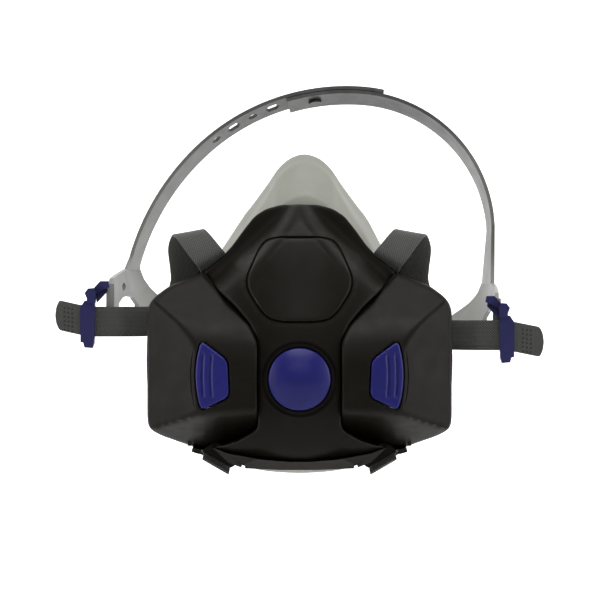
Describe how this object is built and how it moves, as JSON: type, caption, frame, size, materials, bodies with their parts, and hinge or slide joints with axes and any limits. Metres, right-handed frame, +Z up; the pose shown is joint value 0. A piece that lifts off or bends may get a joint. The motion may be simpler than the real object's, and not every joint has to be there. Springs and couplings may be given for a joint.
{
  "type": "half-mask respirator",
  "caption": "Half-mask respirator with silicone face seal, side filter ports with release buttons, push-to-test shutter, elastic straps and an adjustable head cradle.",
  "frame": {"origin": "middle of the face opening, where the seal meets the wearer's face", "axes": "+Y towards the wearer's face, -Y is the front, +Z up, +X to the right as seen from the front"},
  "size_m": [0.2214, 0.1826, 0.1771],
  "materials": {
    "silicone": "matte",
    "front_plastic": "satin",
    "blue_plastic": "satin",
    "webbing": "woven",
    "cradle_plastic": "satin",
    "valve_rubber": "matte",
    "inner_plastic": "satin",
    "spring_steel": "brushed",
    "pad_rubber": "matte"
  },
  "bodies": {
    "root": {"face_seal": "silicone", "valve_body": "inner_plastic", "front_cover": "front_plastic", "front_badge": "front_plastic", "exhalation_cover": "front_plastic", "test_spring": "spring_steel", "left_port_housing": "front_plastic", "left_wing_front": "front_plastic", "left_port_gasket": "pad_rubber", "left_release_spring": "spring_steel", "left_face_strap": "webbing", "left_neck_strap": "webbing", "right_port_housing": "front_plastic", "right_wing_front": "front_plastic", "right_port_gasket": "pad_rubber", "right_release_spring": "spring_steel", "right_face_strap": "webbing", "right_neck_strap": "webbing", "neck_clasp_hook": "front_plastic"},
    "test_press": {"test_button": "blue_plastic", "test_plunger": "inner_plastic", "shutter_plate": "inner_plastic", "left_shutter_pad": "pad_rubber", "right_shutter_pad": "pad_rubber"},
    "left_release": {"left_release_button": "blue_plastic", "left_latch": "inner_plastic"},
    "right_release": {"right_release_button": "blue_plastic", "right_latch": "inner_plastic"},
    "left_inhale": {"left_inhalation_valve": "valve_rubber"},
    "right_inhale": {"right_inhalation_valve": "valve_rubber"},
    "exhale": {"exhalation_valve": "valve_rubber"},
    "cradle_left": {"left_cradle_arm": "cradle_plastic", "left_buckle": "blue_plastic", "left_strap_tail": "webbing"},
    "cradle_right": {"right_cradle_arm": "cradle_plastic", "right_buckle": "blue_plastic", "right_strap_tail": "webbing", "size_stud": "cradle_plastic"},
    "clasp_loop": {"neck_clasp_loop": "front_plastic"}
  },
  "joints": [
    {"name": "test_button_press", "type": "slide", "parent": "root", "child": "test_press", "axis": [0, 1, 0], "range_m": [0, 0.003], "stiffness_N_per_m": 500, "springref_m": -0.004, "deforming": ["test_spring"]},
    {"name": "left_release_press", "type": "slide", "parent": "root", "child": "left_release", "axis": [0, 1, 0], "range_m": [0, 0.003], "stiffness_N_per_m": 600, "springref_m": -0.003, "deforming": ["left_release_spring"]},
    {"name": "right_release_press", "type": "slide", "parent": "root", "child": "right_release", "axis": [0, 1, 0], "range_m": [0, 0.003], "stiffness_N_per_m": 600, "springref_m": -0.003, "deforming": ["right_release_spring"]},
    {"name": "left_inhalation_lift", "type": "slide", "parent": "root", "child": "left_inhale", "axis": [0, 1, 0], "range_m": [0, 0.0015], "stiffness_N_per_m": 60, "springref_m": -0.0005},
    {"name": "right_inhalation_lift", "type": "slide", "parent": "root", "child": "right_inhale", "axis": [0, 1, 0], "range_m": [0, 0.0015], "stiffness_N_per_m": 60, "springref_m": -0.0005},
    {"name": "exhalation_lift", "type": "slide", "parent": "root", "child": "exhale", "axis": [0, -1, 0], "range_m": [0, 0.0015], "stiffness_N_per_m": 60, "springref_m": -0.0005},
    {"name": "cradle_tilt", "type": "hinge", "parent": "root", "child": "cradle_left", "pos_m": [-0.092, -0.0114, 0.0075], "axis": [0.9995, 0, -0.0331], "range_deg": [-30, 25], "deforming": ["left_face_strap", "right_face_strap"]},
    {"name": "cradle_size", "type": "hinge", "parent": "cradle_left", "child": "cradle_right", "pos_m": [0.0209, 0.022, 0.0178], "axis": [0.0557, 0.988, -0.1443], "range_deg": [-11, 11], "deforming": ["size_stud", "right_face_strap"]},
    {"name": "clasp_turn", "type": "hinge", "parent": "root", "child": "clasp_loop", "pos_m": [0, 0.11, -0.042], "axis": [0, 0, 1], "range_deg": [-35, 35], "deforming": ["right_neck_strap"]}
  ]
}
